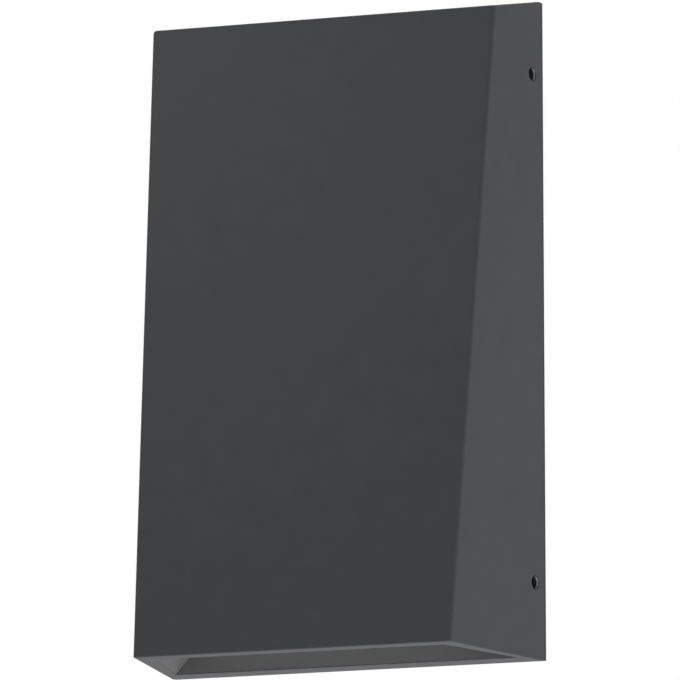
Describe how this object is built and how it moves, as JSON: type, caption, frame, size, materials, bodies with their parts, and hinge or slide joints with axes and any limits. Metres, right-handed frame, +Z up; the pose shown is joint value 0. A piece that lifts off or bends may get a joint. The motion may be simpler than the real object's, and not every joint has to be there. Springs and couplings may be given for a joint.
{
  "type": "outdoor wall light",
  "caption": "Wedge-shaped outdoor wall light in graphite powder coat that shines down through an opening in its underside, on a steel base plate with side set screws.",
  "frame": {"origin": "on the wall plane, in the middle of the base plate's width and halfway up the housing", "axes": "+Z up along the wall, -Y out of the wall towards the room, +X to the right as seen from the room"},
  "size_m": [0.12, 0.056, 0.2],
  "materials": {
    "powder_coat_graphite": "graphite polyester powder coat, fine texture, satin",
    "epdm_black": "moulded EPDM, matt",
    "steel_black": "black-oxide steel",
    "steel_zinc": "bright zinc plating",
    "rubber_black": "moulded rubber",
    "aluminium_raw": "die-cast, tumbled",
    "board_white": "white solder mask",
    "led_yellow": "phosphor under clear silicone",
    "plastic_white": "moulded polycarbonate",
    "silicone": "translucent silicone",
    "diffuser_opal": "satin-etched opal",
    "driver_plastic": "moulded polycarbonate, fine spark texture",
    "board_green": "green solder mask",
    "transformer_tape": "polyester tape over ferrite",
    "capacitor_sleeve": "shrunk PVC sleeve",
    "terminal_plastic": "moulded polyamide",
    "tinned_copper": "electro-tinned copper",
    "wire_brown": "PVC insulation",
    "wire_blue": "PVC insulation",
    "wire_earth": "PVC insulation, green and yellow",
    "wire_red": "PVC insulation",
    "wire_black": "PVC insulation"
  },
  "bodies": {
    "base": {"base_plate": "steel_zinc", "cable_grommet": "rubber_black", "heat_sink": "aluminium_raw", "heat_sink_screws": "steel_zinc", "led_board": "board_white", "led_chips": "led_yellow", "reflector": "plastic_white", "module_screws": "steel_zinc", "diffuser_gasket": "silicone", "diffuser": "diffuser_opal", "diffuser_frame": "plastic_white", "diffuser_frame_screws": "steel_zinc", "driver_case": "driver_plastic", "driver_cover": "driver_plastic", "driver_board": "board_green", "driver_transformer": "transformer_tape", "driver_capacitors": "capacitor_sleeve", "driver_screws": "steel_zinc", "terminal_block": "terminal_plastic", "terminal_clamp_screws": "steel_zinc", "terminal_fixing_screws": "steel_zinc", "earth_screw": "steel_zinc", "earth_washer": "steel_zinc", "earth_ring": "tinned_copper", "live_wire": "wire_brown", "neutral_wire": "wire_blue", "earth_wire": "wire_earth", "led_lead_positive": "wire_red", "led_lead_negative": "wire_black"},
    "cover": {"housing": "powder_coat_graphite", "wall_gasket": "epdm_black"},
    "set_screw_right_upper": {"set_screw_right_upper": "steel_black"},
    "set_screw_right_lower": {"set_screw_right_lower": "steel_black"},
    "set_screw_left_upper": {"set_screw_left_upper": "steel_black"},
    "set_screw_left_lower": {"set_screw_left_lower": "steel_black"}
  },
  "joints": [
    {"name": "housing_pull_off", "type": "slide", "parent": "base", "child": "cover", "axis": [0, -1, 0], "range_m": [0, 0.07]},
    {"name": "set_screw_right_upper_back_out", "type": "slide", "parent": "cover", "child": "set_screw_right_upper", "axis": [1, 0, 0], "range_m": [0, 0.0028]},
    {"name": "set_screw_right_lower_back_out", "type": "slide", "parent": "cover", "child": "set_screw_right_lower", "axis": [1, 0, 0], "range_m": [0, 0.0028]},
    {"name": "set_screw_left_upper_back_out", "type": "slide", "parent": "cover", "child": "set_screw_left_upper", "axis": [-1, 0, 0], "range_m": [0, 0.0028]},
    {"name": "set_screw_left_lower_back_out", "type": "slide", "parent": "cover", "child": "set_screw_left_lower", "axis": [-1, 0, 0], "range_m": [0, 0.0028]}
  ]
}
